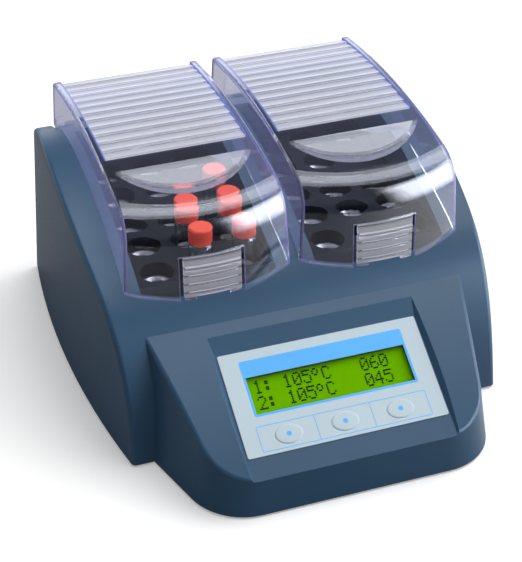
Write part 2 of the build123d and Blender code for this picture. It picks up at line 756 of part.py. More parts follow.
def ears(x):
    """Two ears at the rear lower corners that turn on the hinge pin."""
    parts = []
    for s in (-1, 1):
        x0, x1 = sorted((x + s * EAR_INNER, x + s * (LID_BASE_HALF_W - 1.6)))
        ear = rod_x(x0, x1, HINGE_Y, HINGE_Z, EAR_R)
        web = span_box(x0, x1, HINGE_Y, LID_REAR_Y - 0.5, HINGE_Z - 0.6, HINGE_Z + EAR_R)
        arm = span_box(x0, x1, HINGE_Y - 1, HINGE_Y + EAR_R, HINGE_Z, HINGE_Z + 6)
        parts.append((ear + web + arm) & lid_prism(x, 0.05))
    return parts[0] + parts[1]


def lid(side):
    """Clear lid: drafted walls that follow the arch, a louvred rear field and a finger scoop."""
    x = lid_x(side)
    outer = rounded_lid(x)
    inner = lid_block(x, LID_WALL, LID_CROWN_T, LID_BROW_R - LID_CROWN_T)
    shell = outer - inner
    shell = shell + (scoop(x, SCOOP_WALL) & outer)
    shell = shell - arch_solid(LID_GAP, rear=REAR_Y + 5) + ears(x)
    shell = shell - scoop(x) - rib_tool(x)
    opening = TAB_W / 2 + TAB_SLOT_W
    shell = shell - span_box(x - opening, x + opening, LID_FRONT_Y - 5, LID_FRONT_Y + 12, 60, TAB_TOP_Z)
    return shell - rod_x(x - 60, x + 60, HINGE_Y, HINGE_Z, (PIN_D + PIN_PLAY) / 2)


def wall_band(x, proud, deep, half_w, z0, z1):
    """Piece of the lid's front wall between two depths and two heights."""
    band = lid_prism(x, -proud) - lid_prism(x, deep)
    return band & span_box(x - half_w, x + half_w, LID_FRONT_Y - 10, LID_FRONT_Y + 15, z0, z1)


def latch_tab(side):
    """Sprung tongue in the front wall: a bar and ribs to grip, two lugs at the foot."""
    x = lid_x(side)
    half = TAB_W / 2
    top = TAB_TOP_Z - TAB_TOP_GAP
    foot = TAB_FOOT_Z
    tab = wall_band(x, 0, LID_WALL, half, foot, top)
    grips = [(TAB_BAR_Z, TAB_BAR_H, TAB_BAR_PROUD, half - 0.6)]
    for i in range(1, TAB_RIBS + 1):
        grips.append((TAB_BAR_Z - i * TAB_RIB_PITCH, TAB_RIB_H, TAB_RIB_PROUD, half - 2.5))
    for z, height, proud, half_w in grips:
        tab = tab + wall_band(x, proud, LID_WALL / 2, half_w, z - height / 2, z + height / 2)
    for s in (-1, 1):
        centre = x + s * (half - TAB_LUG_W / 2)
        tab = tab + (wall_band(x, 0, LID_WALL, half, foot - TAB_LUG_H, foot + 1) & span_box(
            centre - TAB_LUG_W / 2, centre + TAB_LUG_W / 2, -80, 0, 70, 120))
    return tab


def hinge_pin(side):
    x = lid_x(side)
    reach = LID_BASE_HALF_W - 2.4
    return rod_x(x - reach, x + reach, HINGE_Y, HINGE_Z, PIN_D / 2)


# --- keypad ------------------------------------------------------------------------------------
def key_face(grow=0.0):
    """Oval of a key: two flat arcs and two round ends."""
    w, h, end = KEY_W / 2 + grow, KEY_H / 2 + grow, KEY_END_R + grow
    flat = ((w - end) ** 2 + h**2 - end**2) / (2 * (h - end))
    ends = Pos(w - end, 0) * Circle(end) + Pos(end - w, 0) * Circle(end)
    lens = Pos(0, h - flat) * Circle(flat) & Pos(0, flat - h) * Circle(flat)
    reach = (w - end) * flat / (flat - end)
    return ends + (lens & Rectangle(2 * reach, 2 * h))


def keypad_overlay():
    sheet = extrude(RectangleRounded(PANEL_W, PANEL_H, 1.2), amount=OVERLAY_T)
    sheet = sheet - Pos(0, WINDOW_V, 0) * Box(WINDOW_W, WINDOW_H, 5)
    for i in (-1, 0, 1):
        hole = extrude(key_face(KEY_GAP), amount=3, both=True)
        sheet = sheet - Pos(i * KEY_PITCH, KEY_V, 0) * hole
    return PANEL * Pos(0, 0, -OVERLAY_T) * sheet


def key(index):
    """Raised oval with its stem; it rests KEY_TRAVEL above the recess floor."""
    low = -OVERLAY_T + KEY_TRAVEL + 0.05
    plate = Pos(0, 0, low) * extrude(key_face(), amount=KEY_PROUD - low)
    plate = chamfer(plate.edges().group_by(Axis.Z)[-1], 0.25)
    bottom = -SWITCH_TOP_DEPTH + KEY_TRAVEL + 0.05
    stem = Pos(0, 0, (low + bottom) / 2) * Cylinder(KEY_STEM_D / 2, low - bottom)
    return PANEL * Pos(index * KEY_PITCH, KEY_V, 0) * (plate + stem)


def display_window():
    lens = Box(WINDOW_W + 1.6, WINDOW_H + 1.6, WINDOW_T)
    return PANEL * Pos(0, WINDOW_V, -OVERLAY_T - WINDOW_T / 2) * lens


def display_holes():
    w, h = DISPLAY_W / 2 - 3.5, DISPLAY_H / 2 - 3.5
    return [(s * w, WINDOW_V + t * h) for s in (-1, 1) for t in (-1, 1)]


def display_module():
    """Character display: circuit board with a metal frame round the glass."""
    board = Pos(0, WINDOW_V, -BOARD_DEPTH - BOARD_T / 2) * Box(DISPLAY_W, DISPLAY_H, BOARD_T)
    frame_top = -OVERLAY_T - PANEL_FLOOR - 0.3
    frame_h = BOARD_DEPTH + frame_top
    frame = Pos(0, WINDOW_V, -BOARD_DEPTH + frame_h / 2) * Box(DISPLAY_W - 14, DISPLAY_H - 14, frame_h)
    glass = Pos(0, WINDOW_V, frame_top) * Box(WINDOW_W + 0.5, WINDOW_H, 2)
    return PANEL * (board + (frame - glass))


def display_glass():
    frame_top = -OVERLAY_T - PANEL_FLOOR - 0.3
    glass = Pos(0, WINDOW_V, frame_top - 0.5) * Box(WINDOW_W + 0.5, WINDOW_H, 1)
    return PANEL * glass


def keypad_board():
    board = Pos(0, KEY_V - 2, -BOARD_DEPTH - BOARD_T / 2) * Box(KEY_BOARD_W, KEY_BOARD_H, BOARD_T)
    return PANEL * board


def key_switches():
    height = BOARD_DEPTH - SWITCH_TOP_DEPTH
    body = Pos(0, 0, -BOARD_DEPTH + (height - 0.6) / 2) * Box(6, 6, height - 0.6)
    plunger = Pos(0, 0, -BOARD_DEPTH + height / 2) * Cylinder(1.7, height)
    switch = body + plunger
    return PANEL * group([Pos(i * KEY_PITCH, KEY_V, 0) * switch for i in (-1, 0, 1)])


# --- electronics -------------------------------------------------------------------------------
def control_board():
    x, y0, y1 = CONTROL_HALF_W, *CONTROL_Y
    z = CONTROL_Z
    board = span_box(-x, x, y0, y1, z, z + BOARD_T)
    chip = span_box(-12, 2, y0 + 20, y0 + 34, z + BOARD_T, z + BOARD_T + 1.6)
    header = span_box(20, 52, y1 - 9, y1 - 3, z + BOARD_T, z + BOARD_T + 8)
    terminals = span_box(-55, -15, y1 - 12, y1 - 3, z + BOARD_T, z + BOARD_T + 9)
    return board + chip + header + terminals


def board_standoffs():
    z0 = TRAY_Z + TRAY_T
    x, (y0, y1) = CONTROL_HALF_W - 5, CONTROL_Y
    posts = [upright(s * x, y, z0, CONTROL_Z, 6) for s in (-1, 1) for y in (y0 + 5, y1 - 5)]
    return group(posts)


def beeper():
    can = upright(-40, CONTROL_Y[0] + 14, CONTROL_Z + BOARD_T, CONTROL_Z + BOARD_T + 7, 12)
    return can - upright(-40, CONTROL_Y[0] + 14, CONTROL_Z + BOARD_T + 5, CONTROL_Z + 20, 2)


def power_board():
    x0, x1 = POWER_BOARD_X
    low = TRAY_Z + TRAY_T
    return span_box(x0, x1, POWER_BOARD_Y, POWER_BOARD_Y + BOARD_T, low, POWER_BOARD_TOP)


def power_parts():
    """Supply module, two relays and a terminal strip on the rear of the power board."""
    x0 = POWER_BOARD_X[0]
    y = POWER_BOARD_Y + BOARD_T
    supply = span_box(x0 + 4, x0 + 38, y, y + 15, 30, 62)
    relays = [span_box(x0 + 46 + i * 22, x0 + 65 + i * 22, y, y + 15, 40, 56) for i in (0, 1)]
    strip = span_box(x0 + 46, x0 + 90, y, y + 10, 14, 24)
    return group([supply, *relays, strip])


def heatsink():
    """Finned extrusion behind the power board."""
    x0, x1 = POWER_BOARD_X[1] - 30, POWER_BOARD_X[1] - 4
    y = POWER_BOARD_Y + BOARD_T
    sink = span_box(x0, x1, y, y + 2.5, 62, 82)
    for i in range(6):
        x = x0 + i * (x1 - x0 - 1.5) / 5
        sink = sink + span_box(x, x + 1.5, y, y + 12, 62, 82)
    return sink


def power_inlet():
    """Panel inlet with a keyed socket, and a slot for the fuse drawer over it."""
    flange = Pos(INLET_X, REAR_Y + INLET_FLANGE_T / 2, INLET_Z) * Box(
        INLET_BODY_W + 4, INLET_FLANGE_T, INLET_BODY_H + 4)
    flange = chamfer(flange.edges().group_by(Axis.Y)[-1], 0.8)
    can = Box(INLET_BODY_W, INLET_DEPTH, INLET_BODY_H)
    body = Pos(INLET_X, REAR_Y - INLET_DEPTH / 2, INLET_Z) * can
    return flange + body - socket_room() - drawer_room(0.1)


def socket_room():
    """Keyed hole of the socket."""
    face = Rectangle(SOCKET_W, SOCKET_H)
    face = chamfer(face.vertices().group_by(Axis.Y)[-1], 4.5)
    hole = extrude(face, amount=SOCKET_DEPTH + INLET_FLANGE_T)
    return Pos(INLET_X, REAR_Y + INLET_FLANGE_T, SOCKET_Z) * Rot(90, 0, 0) * hole


def inlet_pins():
    base = REAR_Y + INLET_FLANGE_T - SOCKET_DEPTH - INLET_FLANGE_T
    spots = [(-7, -1.5), (7, -1.5), (0, 2.5)]
    pins = [Pos(INLET_X + u, base + 6, SOCKET_Z + w) * Box(2, 12, 4) for u, w in spots]
    return group(pins)


def drawer_room(grow=0.0):
    depth = DRAWER_DEPTH + INLET_FLANGE_T
    return Pos(INLET_X, REAR_Y + INLET_FLANGE_T - depth / 2, DRAWER_Z) * Box(
        DRAWER_W + 2 * grow, depth, DRAWER_H + 2 * grow)


def fuse_drawer():
    """Drawer of the inlet, with room for two fuses and a notch to pry it out."""
    tray = drawer_room()
    y = REAR_Y + INLET_FLANGE_T - 2.5 - FUSE_L / 2
    beds = [Pos(INLET_X + s * DRAWER_W / 4, y, DRAWER_Z) * Box(FUSE_D + 0.4, FUSE_L + 0.4, FUSE_D + 0.4)
            for s in (-1, 1)]
    notch = Pos(INLET_X, REAR_Y + INLET_FLANGE_T, DRAWER_Z - DRAWER_H / 2) * Box(6, 2, 2)
    return tray - beds[0] - beds[1] - notch


def fuses():
    y = REAR_Y + INLET_FLANGE_T - 2.5 - FUSE_L / 2
    return group([
        Pos(INLET_X + s * DRAWER_W / 4, y, DRAWER_Z) * Rot(90, 0, 0) * Cylinder(FUSE_D / 2, FUSE_L)
        for s in (-1, 1)])


def switch_frame():
    flange = Pos(SWITCH_X, REAR_Y + SWITCH_FLANGE_T / 2, SWITCH_Z) * Box(
        SWITCH_W + 3, SWITCH_FLANGE_T, SWITCH_H + 3)
    flange = chamfer(flange.edges().group_by(Axis.Y)[-1], 0.6)
    body = Pos(SWITCH_X, REAR_Y - 8, SWITCH_Z) * Box(SWITCH_W, 16, SWITCH_H)
    room = Pos(SWITCH_X, REAR_Y - 2, SWITCH_Z) * Box(ROCKER_W + 0.6, 16, ROCKER_H + 1.6)
    return flange + body - room


def power_rocker():
    """Rocker at rest in its off position; it turns about an axis across its middle."""
    half_h, reach = ROCKER_H / 2, 4.5
    face = make_face([
        Polyline((-half_h, 0), (-half_h, 2.0)),
        ThreePointArc((-half_h, 2.0), (0, 0.9), (half_h, 2.0)),
        Polyline((half_h, 2.0), (half_h, 0)),
        ThreePointArc((half_h, 0), (0, -reach), (-half_h, 0)),
    ])
    across = Plane(origin=(0, 0, 0), x_dir=(0, 0, 1), z_dir=(-1, 0, 0))
    body = extrude(across * face, amount=ROCKER_W / 2, both=True)
    return Pos(SWITCH_X, ROCKER_AXIS_Y, SWITCH_Z) * Rot(ROCKER_TILT, 0, 0) * body


def save(shape, name):
    """Writes one piece, lifted onto the feet and brought forward."""
    forward = (FRONT_Y + REAR_Y + REAR_FITTINGS) / 2
    export_step(Pos(0, -forward, FOOT_DROP) * shape, f"parts/{name}.step")


def main():
    os.makedirs("parts", exist_ok=True)
    for piece in (upper_housing, base_tray, rubber_feet, case_screws, block_standoffs, sample_vials,
                  vial_samples, vial_caps, keypad_overlay, display_window, display_module,
                  display_glass, keypad_board, key_switches, control_board, board_standoffs, beeper,
                  power_board, power_parts, heatsink, power_inlet, inlet_pins, fuse_drawer, fuses,
                  switch_frame, power_rocker):
        save(piece(), piece.__name__)
    for side in SIDES:
        for piece in (block_cover, temperature_sensor, heater_mat, insulation_jacket,
                      thermal_cutout, lid, latch_tab, hinge_pin):
            save(piece(side), f"{piece.__name__}_{side}")
        for row in range(WELL_ROWS):
            save(heating_bar(side, row), f"heating_bar_{side}_{row + 1}")
    for index, place in enumerate(("left", "middle", "right")):
        save(key(index - 1), f"key_{place}")


main()
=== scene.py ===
import math

import bmesh
import bpy
from mathutils import Matrix, Vector


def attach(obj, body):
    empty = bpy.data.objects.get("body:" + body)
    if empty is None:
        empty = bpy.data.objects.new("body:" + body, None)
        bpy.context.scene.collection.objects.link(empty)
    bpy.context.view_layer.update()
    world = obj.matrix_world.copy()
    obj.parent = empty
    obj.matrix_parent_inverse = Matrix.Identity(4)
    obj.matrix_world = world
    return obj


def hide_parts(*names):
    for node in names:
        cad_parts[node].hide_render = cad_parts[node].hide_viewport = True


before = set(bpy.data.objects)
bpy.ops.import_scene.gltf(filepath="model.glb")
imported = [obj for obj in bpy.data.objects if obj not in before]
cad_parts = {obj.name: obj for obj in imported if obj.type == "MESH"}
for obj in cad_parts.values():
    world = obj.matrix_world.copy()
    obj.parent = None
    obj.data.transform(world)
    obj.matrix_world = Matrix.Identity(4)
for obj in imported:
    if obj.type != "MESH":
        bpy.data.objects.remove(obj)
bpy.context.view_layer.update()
MM = 0.001
LIFT = 1.5                 # the feet lift everything this far, in mm
FORWARD = 1.0              # and the parts stand this far forward of the design's own middle


# --- camera ------------------------------------------------------------------------------------
AZ, EL, ROLL = math.radians(-19.27), math.radians(35.25), math.radians(0.2)
TARGET_Y, TARGET_Z = 1.9, 57                           # of the point looked at, in the design's mm
DISTANCE, SIDE, RISE = 1.02505, -0.00877, -0.00414     # of the camera from that point, in metres
SENSOR = 36                                            # in mm
FOCAL_LENGTH, FRAME_LENGTH = 1637, 562                 # in pixels
CLIP_NEAR, CLIP_FAR = 0.05, 50

target = Vector((0, TARGET_Y - FORWARD, TARGET_Z + LIFT)) * MM
back = Vector((math.sin(AZ) * math.cos(EL), -math.cos(AZ) * math.cos(EL), math.sin(EL)))
right = Vector((math.cos(AZ), math.sin(AZ), 0))
up = back.cross(right)
right, up = (
    math.cos(ROLL) * right + math.sin(ROLL) * up,
    -math.sin(ROLL) * right + math.cos(ROLL) * up,
)
place = target + back * DISTANCE + right * SIDE + up * RISE
camera_data = bpy.data.cameras.new("view")
camera_data.lens = SENSOR * FOCAL_LENGTH / FRAME_LENGTH
camera_data.sensor_width = SENSOR
camera_data.sensor_fit = "AUTO"
camera_data.clip_start = CLIP_NEAR
camera_data.clip_end = CLIP_FAR
camera = bpy.data.objects.new("view", camera_data)
bpy.context.scene.collection.objects.link(camera)
axes = Matrix((right, up, back)).transposed()
camera.matrix_world = Matrix.Translation(place) @ axes.to_4x4()
bpy.context.scene.camera = camera
bpy.context.scene.view_settings.view_transform = "Standard"


# --- nodes -------------------------------------------------------------------------------------
def node(tree, kind, **settings):
    """A new node. Each setting is the value of a socket, or else a property of the node."""
    made = tree.nodes.new(kind)
    for key, value in settings.items():
        if key in made.inputs:
            made.inputs[key].default_value = value
        else:
            setattr(made, key, value)
    return made


def ranged(tree, value, from_low, from_high, to_low, to_high, **settings):
    """A value carried from one range to another and held at its ends."""
    out = node(tree, "ShaderNodeMapRange", **settings)
    out.inputs["From Min"].default_value = from_low
    out.inputs["From Max"].default_value = from_high
    out.inputs["To Min"].default_value = to_low
    out.inputs["To Max"].default_value = to_high
    tree.links.new(value, out.inputs["Value"])
    return out.outputs["Result"]


def step(tree, value, low, high):
    """0 below low, 1 over high, smooth between."""
    return ranged(tree, value, low, high, 0.0, 1.0, interpolation_type="SMOOTHSTEP")


def fall(tree, value, low, high):
    """1 below low, 0 over high, smooth between."""
    return ranged(tree, value, low, high, 1.0, 0.0, interpolation_type="SMOOTHSTEP")


def maths(tree, operation, *terms):
    """A chain of one operation on sockets and plain numbers."""
    value = terms[0]
    for term in terms[1:]:
        out = node(tree, "ShaderNodeMath", operation=operation)
        for socket, source in zip(out.inputs, (value, term)):
            if isinstance(source, (int, float)):
                socket.default_value = source
            else:
                tree.links.new(source, socket)
        value = out.outputs[0]
    return value


def single(tree, operation, term):
    """One operation on one socket."""
    out = node(tree, "ShaderNodeMath", operation=operation)
    tree.links.new(term, out.inputs[0])
    return out.outputs[0]


def between(tree, value, low, high, soft):
    """1 between low and high, 0 outside, with soft ends."""
    return maths(tree, "MULTIPLY", step(tree, value, low - soft, low),
                 fall(tree, value, high, high + soft))


def coordinates(tree, kind="Object"):
    """X, Y and Z of a spot: in the piece's own frame or, in the world, of the direction."""
    coords = node(tree, "ShaderNodeTexCoord")
    split = node(tree, "ShaderNodeSeparateXYZ")
    tree.links.new(coords.outputs[kind], split.inputs["Vector"])
    return [split.outputs[axis] for axis in "XYZ"]


def blend(tree, share, first, second):
    """Two shaders in one: at share 0 the first alone, at share 1 the second."""
    mix = node(tree, "ShaderNodeMixShader")
    if isinstance(share, float):
        mix.inputs["Fac"].default_value = share
    else:
        tree.links.new(share, mix.inputs["Fac"])
    tree.links.new(first, mix.inputs[1])
    tree.links.new(second, mix.inputs[2])
    return mix.outputs[0]


# --- materials ---------------------------------------------------------------------------------
NOISE_LOW, NOISE_HIGH = 0.3, 0.7       # where most of a noise's values lie
GLOSS_PLAY = 0.05                      # how far the grain moves the roughness, up and down
GRAIN_UNIT = 0.35                      # grain in mm that a noise of scale 1000 gives


def new_material(name):
    mat = bpy.data.materials.new(name)
    mat.use_nodes = True
    mat.node_tree.nodes.clear()
    return mat, mat.node_tree


def finished(tree, shader):
    """The material's output with this surface."""
    out = node(tree, "ShaderNodeOutputMaterial")
    tree.links.new(shader, out.inputs["Surface"])
    return out


def noise(tree, scale, detail):
    """Noise in the piece's own coordinates."""
    coords = node(tree, "ShaderNodeTexCoord")
    out = node(tree, "ShaderNodeTexNoise", Scale=scale, Detail=detail, Roughness=0.55)
    tree.links.new(coords.outputs["Object"], out.inputs["Vector"])
    return out.outputs["Fac"]


def spread(tree, value, low, high):
    """A noise carried to the range from low to high."""
    return ranged(tree, value, NOISE_LOW, NOISE_HIGH, low, high)


def tones(tree, value, dark, light):
    """A noise turned into a colour from dark to light."""
    ramp = node(tree, "ShaderNodeValToRGB")
    ends = ramp.color_ramp.elements
    ends[0].position, ends[1].position = NOISE_LOW, NOISE_HIGH
    ends[0].color, ends[1].color = (*dark, 1), (*light, 1)
    tree.links.new(value, ramp.inputs["Fac"])
    return ramp.outputs["Color"]


def shade(colour, amount):
    return tuple(min(1.0, c * amount) for c in colour)


def moulded(name, colour, rough=0.45, grain=0.02, grain_size=0.35, vary=0.06,
            specular=0.5, metal=0.0):
    """A plastic, rubber, film or metal with grain, of a depth and a size in mm."""
    mat, tree = new_material(name)
    bsdf = node(tree, "ShaderNodeBsdfPrincipled", Metallic=metal)
    bsdf.inputs["Specular IOR Level"].default_value = specular
    broad = noise(tree, scale=14, detail=4)
    fine = noise(tree, scale=1000 / grain_size * GRAIN_UNIT, detail=2)
    tree.links.new(tones(tree, broad, shade(colour, 1 - vary), shade(colour, 1 + vary)),
                   bsdf.inputs["Base Color"])
    tree.links.new(spread(tree, fine, rough - GLOSS_PLAY, rough + GLOSS_PLAY),
                   bsdf.inputs["Roughness"])
    bump = node(tree, "ShaderNodeBump", Strength=1.0, Distance=grain * MM)
    tree.links.new(fine, bump.inputs["Height"])
    tree.links.new(bump.outputs["Normal"], bsdf.inputs["Normal"])
    finished(tree, bsdf.outputs["BSDF"])
    return mat


# where the louvres and the scoop lie on the lids, in metres
OPEN = 1.0                             # a limit beyond every spot of the part
TOP_LOW, TOP_HIGH, TOP_SOFT = 0.1355, 0.160, 0.0010
LID_MIDDLE = 0.05415
RIB_FRONT, RIB_REAR, RIB_PITCH, RIB_REACH = 0.0270, 0.150, 0.00974167, 0.0437
END_INSIDE, END_OUTSIDE = 0.0002, 0.0007
ACROSS_SOFT, ALONG_SOFT = 0.0003, 0.0002
SCOOP_MIDDLE, SCOOP_RADIUS, SCOOP_WALL = 0.0374, 0.0463, 0.0028
SCOOP_FRONT, SCOOP_REAR = -0.05, 0.0121
SCOOP_SOFT = 0.00001                   # in square metres

# how much painted reflection they take: over one louvre from its front edge, with a painted
# highlight there and a painted dark line, then the other places
LOUVRE_START, LOUVRE_END = 0.85, 0.80
LOUVRE_TONES = ((0.30, 0.46), (0.78, 0.33), (0.90, 0.08), (0.97, 0.16))
# the louvres' painted light grows towards the rear by this share
REAR_GAIN, REAR_FROM, REAR_SOFT = 0.30, 0.115, 0.07
FLOOR_PAINTED_LIGHT, WALL_PAINTED_LIGHT, END_PAINTED_LIGHT = 0.15, 0.16, 0.35
END_COLOUR = (0.28, 0.36, 0.98)        # painted glow of the louvres' ends, where light gathers


def lid_places(tree):
    """The painted light on each spot of a lid's top, and where the louvres' coloured ends are.

    The louvres take most, as painted reflection brightest at each front edge, and the scoop's
    floor and wall a little.
    """
    x, y, z = coordinates(tree)
    off = maths(tree, "SUBTRACT", single(tree, "ABSOLUTE", x), LID_MIDDLE)
    beside = single(tree, "ABSOLUTE", off)
    top = between(tree, z, TOP_LOW, TOP_HIGH, TOP_SOFT)

    within = between(tree, beside, -OPEN, RIB_REACH, ACROSS_SOFT)
    field = between(tree, y, RIB_FRONT, RIB_REAR, ALONG_SOFT)
    turns = maths(tree, "DIVIDE", maths(tree, "SUBTRACT", y, RIB_FRONT), RIB_PITCH)
    ramp = node(tree, "ShaderNodeValToRGB")
    stops = ramp.color_ramp.elements
    for stop, grey in ((stops[0], LOUVRE_START), (stops[1], LOUVRE_END)):
        stop.color = (grey, grey, grey, 1)
    for spot, grey in LOUVRE_TONES:
        stops.new(spot).color = (grey, grey, grey, 1)
    tree.links.new(single(tree, "FRACT", turns), ramp.inputs["Fac"])
    # painted light, stronger towards the rear
    rearward = maths(tree, "MULTIPLY", between(tree, y, REAR_FROM, OPEN, REAR_SOFT), REAR_GAIN)
    louvres = maths(tree, "MULTIPLY", ramp.outputs["Color"], field, within, top,
                    maths(tree, "ADD", rearward, 1.0))

    ahead = maths(tree, "SUBTRACT", y, SCOOP_MIDDLE)
    reach = maths(tree, "ADD", maths(tree, "MULTIPLY", off, off),
                  maths(tree, "MULTIPLY", ahead, ahead))
    in_scoop = between(tree, y, SCOOP_FRONT, SCOOP_REAR, ALONG_SOFT)
    disc = between(tree, reach, -OPEN, SCOOP_RADIUS**2, SCOOP_SOFT)
    rim = between(tree, reach, SCOOP_RADIUS**2, (SCOOP_RADIUS + SCOOP_WALL)**2, SCOOP_SOFT)
    scoop_floor = maths(tree, "MULTIPLY", disc, top, in_scoop, FLOOR_PAINTED_LIGHT)
    scoop_wall = maths(tree, "MULTIPLY", rim, top, in_scoop, WALL_PAINTED_LIGHT)

    ends = maths(tree, "MULTIPLY", field, top,
                 between(tree, beside, RIB_REACH - END_INSIDE, RIB_REACH + END_OUTSIDE,
                         ACROSS_SOFT))
    share = maths(tree, "ADD", louvres, scoop_floor, scoop_wall,
                  maths(tree, "MULTIPLY", ends, END_PAINTED_LIGHT))
    return share, ends


# heights on the latch tabs, in metres, and the part of each rib's height with painted highlight
TAB_FOOT, TAB_TOP, TAB_SOFT = 0.0875, 0.1140, 0.0005
TAB_PITCH, TAB_LINE = 0.0056, 0.1013   # of the ribs, and the height of one of their dark lines
TAB_RISE, TAB_DROP, TAB_BLUR = 0.22, 0.86, 0.12
TAB_TURNS = 20.0                       # whole ribs added, so that the count stays above 0


def tab_places(tree):
    """The painted highlight on each height of a latch tab: pale between the fine dark lines of its
    ribs.
    """
    z = coordinates(tree)[2]
    turns = maths(tree, "DIVIDE", maths(tree, "SUBTRACT", z, TAB_LINE), TAB_PITCH)
    phase = single(tree, "FRACT", maths(tree, "ADD", turns, TAB_TURNS))
    band = between(tree, phase, TAB_RISE, TAB_DROP, TAB_BLUR)
    return maths(tree, "MULTIPLY", band, between(tree, z, TAB_FOOT, TAB_TOP, TAB_SOFT)), None


RIM_POWER = 3.0                        # the higher, the closer the rim's tint keeps to the edge
RIM_SENT_BACK = 0.5                        # share of the rim's veil that sends light back
PAINTED_LIGHT_THROUGH = 0.25                      # share of the painted light's veil that lets light through


def rimmed(tree, solid, colour, rim_share, haze_share):
    """A tinted veil of painted glow where the surface turns away, and a little of it everywhere."""
    let_through = node(tree, "ShaderNodeBsdfTranslucent", Color=(*colour, 1))
    sent_back = node(tree, "ShaderNodeBsdfDiffuse", Color=(*colour, 1))
    veil = blend(tree, RIM_SENT_BACK, let_through.outputs[0], sent_back.outputs[0])
    facing = node(tree, "ShaderNodeLayerWeight", Blend=0.5).outputs["Facing"]
    share = node(tree, "ShaderNodeMath", operation="MULTIPLY_ADD")
    share.inputs[1].default_value = rim_share
    share.inputs[2].default_value = haze_share
    tree.links.new(maths(tree, "POWER", facing, RIM_POWER), share.inputs[0])
    return blend(tree, share.outputs[0], solid, veil)


def with_painted_light(tree, solid, colour, amount, places):
    """A veil of painted light at the places given, with the ends that they name in a colour of
    their own.
    """
    spots, ends = places(tree)
    sent_back = node(tree, "ShaderNodeBsdfDiffuse", Color=(*colour, 1))
    let_through = node(tree, "ShaderNodeBsdfTranslucent", Color=(*colour, 1))
    if ends:
        colours = node(tree, "ShaderNodeValToRGB")
        colours.color_ramp.elements[0].color = (*colour, 1)
        colours.color_ramp.elements[1].color = (*END_COLOUR, 1)
        tree.links.new(ends, colours.inputs["Fac"])
        for half in (sent_back, let_through):
            tree.links.new(colours.outputs["Color"], half.inputs["Color"])
    veil = blend(tree, PAINTED_LIGHT_THROUGH, sent_back.outputs[0], let_through.outputs[0])
    return blend(tree, maths(tree, "MULTIPLY", spots, amount), solid, veil)


def clear(name, tint, ior, rough, absorb=None, density=0.0, rim=None, rim_share=0.0,
          haze_share=0.006, painted_light=None, painted_light_share=1.0, places=lid_places):
    """A clear solid. Light reaches what is behind it, because shadow and diffuse rays pass.

    The rim's colour stands for light that the moulding gathers and gives off at its edges, a
    painted glow, and haze_share is how much of it lies on the whole surface. The painted light's
    colour lies on the spots that places names, as painted reflection, highlight and glow. Absorb
    and density tint the solid itself.
    """
    mat, tree = new_material(name)
    bsdf = node(tree, "ShaderNodeBsdfPrincipled", IOR=ior)
    bsdf.inputs["Transmission Weight"].default_value = 1.0
    broad = noise(tree, scale=9, detail=2)
    tree.links.new(tones(tree, broad, shade(tint, 0.99), tint), bsdf.inputs["Base Color"])
    tree.links.new(spread(tree, broad, rough, rough * 1.5), bsdf.inputs["Roughness"])
    solid = bsdf.outputs["BSDF"]
    if rim:
        solid = rimmed(tree, solid, rim, rim_share, haze_share)
    if painted_light:
        solid = with_painted_light(tree, solid, painted_light, painted_light_share, places)
    passing = node(tree, "ShaderNodeBsdfTransparent", Color=(1, 1, 1, 1))
    rays = node(tree, "ShaderNodeLightPath").outputs
    either = maths(tree, "MAXIMUM", rays["Is Shadow Ray"], rays["Is Diffuse Ray"])
    out = finished(tree, blend(tree, either, solid, passing.outputs["BSDF"]))
    if absorb:
        volume = node(tree, "ShaderNodeVolumeAbsorption", Color=(*absorb, 1), Density=density)
        tree.links.new(volume.outputs["Volume"], out.inputs["Volume"])
    return mat


HOUSING = moulded("slate_moulding", (0.030, 0.082, 0.152), rough=0.36, grain=0.015, specular=0.34)
COVER = moulded("black_moulding", (0.006, 0.009, 0.016), rough=0.36, grain=0.008, vary=0.12,
                specular=0.20)
TRAY = moulded("tray_moulding", (0.018, 0.019, 0.021), rough=0.5, grain=0.03)
RUBBER = moulded("foot_rubber", (0.012, 0.012, 0.012), rough=0.75, grain=0.05, grain_size=0.6)
BLOCK = moulded("bare_aluminium", (0.62, 0.63, 0.64), rough=0.42, grain=0.006, vary=0.03, metal=1.0)
STEEL = moulded("bright_steel", (0.62, 0.62, 0.63), rough=0.25, grain=0.004, vary=0.03, metal=1.0)
BRASS = moulded("brass_parts", (0.72, 0.55, 0.25), rough=0.3, grain=0.004, vary=0.04, metal=1.0)
FIBRE = moulded("fibre_board", (0.72, 0.69, 0.60), rough=0.9, grain=0.12, grain_size=1.2)
MAT = moulded("silicone_mat", (0.42, 0.08, 0.03), rough=0.6, grain=0.06, grain_size=0.8)
FILM = moulded("pale_film", (0.50, 0.62, 0.69), rough=0.5, grain=0.004, grain_size=0.25, vary=0.02)
PRINT = moulded("sky_blue_print", (0.075, 0.45, 1.0), rough=0.5, grain=0.002, vary=0.03)
BOARD = moulded("board_green", (0.02, 0.14, 0.05), rough=0.4, grain=0.02)
DARK_PARTS = moulded("dark_parts", (0.02, 0.02, 0.022), rough=0.4, grain=0.01)
INLET = moulded("inlet_black", (0.014, 0.014, 0.015), rough=0.38, grain=0.01)
CAP = moulded("orange_red_cap", (1.0, 0.095, 0.045), rough=0.42, grain=0.01, vary=0.04)
SAMPLE = moulded("amber_sample", (0.42, 0.16, 0.03), rough=0.1, grain=0.001, vary=0.05)
LIQUID = moulded("display_green", (0.152, 0.450, 0.0), rough=0.35, grain=0.001, vary=0.02,
                 specular=0.0)
PIXEL = moulded("display_dots", (0.008, 0.022, 0.006), rough=0.4, grain=0.001, vary=0.1,
                specular=0.0)
VIOLET_PLASTIC = {"tint": (0.97, 0.97, 1.0), "ior": 1.58, "absorb": (0.40, 0.40, 1.0),
                  "density": 9.0}
